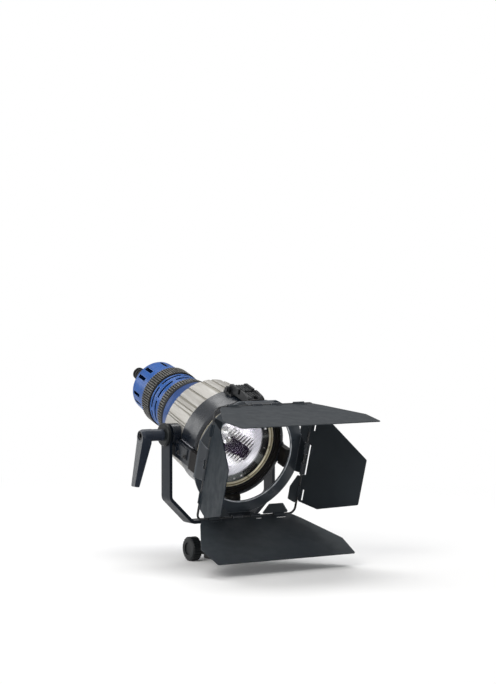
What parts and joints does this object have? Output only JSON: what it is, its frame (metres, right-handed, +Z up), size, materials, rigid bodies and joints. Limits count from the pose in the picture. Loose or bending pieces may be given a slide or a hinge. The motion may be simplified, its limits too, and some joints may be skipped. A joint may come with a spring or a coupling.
{
  "type": "film light",
  "caption": "Focusing film light on a tilting yoke, with barn doors on a turning ring, a knurled rear end and a stand socket with a clamping knob.",
  "frame": {"origin": "middle of the stand socket's mouth", "axes": "+X along the tilt axis away from the clamping lever, -Y the way the light shines, +Z up"},
  "size_m": [0.2509, 0.458, 0.2631],
  "materials": {
    "black_steel": "black satin paint",
    "door_steel": "black satin paint",
    "leaf_steel": "dark grey satin paint",
    "black_cast": "black satin paint",
    "grey_cast": "dark grey satin paint",
    "bare_cast": "as cast",
    "silver": "silver paint",
    "blue": "blue satin paint",
    "dark_knurl": "black satin",
    "bright_aluminium": "polished",
    "brass": "satin",
    "steel": "brushed",
    "black_plastic": "matt",
    "black_rubber": "matt",
    "rubber": "matt",
    "ceramic": "matt",
    "glass": "clear",
    "quartz": "clear"
  },
  "bodies": {
    "stand": {"yoke": "black_steel", "stand_socket": "black_cast", "socket_screw": "steel", "friction_disc": "black_plastic", "pivot_disc": "black_plastic"},
    "shoe": {"clamp_shoe": "brass"},
    "knob": {"stand_knob": "black_plastic", "knob_stud": "steel"},
    "lever": {"tilt_lever": "grey_cast", "lever_screw": "black_steel"},
    "head": {"front_housing": "black_cast", "side_rails": "black_cast", "rail_rods": "steel", "bracket_screws": "black_steel", "bezel": "black_cast", "lens_ring": "brass", "lens_glass": "glass", "lens_gasket": "rubber", "reflector": "bright_aluminium", "ribbed_barrel": "silver", "rear_collar": "blue", "core_tube": "black_cast", "vented_ring": "blue", "rear_cap": "blue", "gland_nut": "black_plastic", "cable_gland": "black_rubber", "latch_base": "black_cast", "latch_pin": "steel", "latch_spring": "steel", "accessory_holder": "black_cast", "tilt_stud": "steel", "pivot_screw": "black_steel"},
    "focus": {"focusing_ring": "dark_knurl"},
    "carriage": {"lamp_carriage": "bare_cast", "lamp_base": "ceramic", "lamp_capsule": "quartz", "focus_pin": "steel"},
    "lock": {"locking_ring": "dark_knurl"},
    "latch": {"latch_lever": "black_cast"},
    "doors": {"door_ring": "door_steel", "ring_clip": "steel", "hinge_frame": "black_steel"},
    "top": {"top_leaf": "leaf_steel"},
    "bottom": {"bottom_leaf": "leaf_steel"},
    "left": {"left_leaf": "leaf_steel"},
    "right": {"right_leaf": "leaf_steel"}
  },
  "joints": [
    {"name": "head_tilt", "type": "hinge", "parent": "stand", "child": "head", "pos_m": [0, 0, 0.174], "axis": [-1, 0, 0], "range_deg": [-18, 70]},
    {"name": "lever_swing", "type": "hinge", "parent": "stand", "child": "lever", "pos_m": [0, 0, 0.174], "axis": [1, 0, 0], "range_deg": [-30, 120]},
    {"name": "shoe_slide", "type": "slide", "parent": "stand", "child": "shoe", "axis": [-1, 0, 0], "range_m": [0, 0.00125]},
    {"name": "knob_turn", "type": "hinge", "parent": "shoe", "child": "knob", "pos_m": [0, 0, 0.016], "axis": [-1, 0, 0], "range_deg": [0, 360]},
    {"name": "focus_turn", "type": "hinge", "parent": "head", "child": "focus", "pos_m": [0, 0.13034, 0.21295], "axis": [0, -0.9516, -0.3074], "range_deg": [0, 110]},
    {"name": "carriage_slide", "type": "slide", "parent": "head", "child": "carriage", "axis": [0, 0.9516, 0.3074], "range_m": [0, 0.012]},
    {"name": "lock_turn", "type": "hinge", "parent": "head", "child": "lock", "pos_m": [0, 0.08561, 0.1985], "axis": [0, -0.9516, -0.3074], "range_deg": [0, 30]},
    {"name": "latch_open", "type": "hinge", "parent": "head", "child": "latch", "pos_m": [0, -0.0461, 0.2354], "axis": [-1, 0, 0], "range_deg": [0, 35], "stiffness_Nm_per_rad": 0.08, "springref_deg": -20.05},
    {"name": "door_turn", "type": "hinge", "parent": "head", "child": "doors", "pos_m": [0, -0.07425, 0.14686], "axis": [0, -0.9516, -0.3074], "range_deg": [-90, 90]},
    {"name": "top_leaf_fold", "type": "hinge", "parent": "doors", "child": "top", "pos_m": [0, -0.11771, 0.21763], "axis": [-1, 0, 0], "range_deg": [-33.4, 86.6]},
    {"name": "bottom_leaf_fold", "type": "hinge", "parent": "doors", "child": "bottom", "pos_m": [0, -0.0681, 0.06405], "axis": [1, 0, 0], "range_deg": [-30.8, 89.2]},
    {"name": "left_leaf_fold", "type": "hinge", "parent": "doors", "child": "left", "pos_m": [-0.0778, -0.09291, 0.14084], "axis": [0, 0.3074, -0.9516], "range_deg": [-102.8, 79.2]},
    {"name": "right_leaf_fold", "type": "hinge", "parent": "doors", "child": "right", "pos_m": [0.0778, -0.09291, 0.14084], "axis": [0, -0.3074, 0.9516], "range_deg": [-103.8, 73.2]}
  ],
  "couplings": [
    {"joint": "knob_turn", "follows": "shoe_slide", "rad_per_m": 5026.5},
    {"joint": "carriage_slide", "follows": "focus_turn", "m_per_rad": 0.00625}
  ]
}
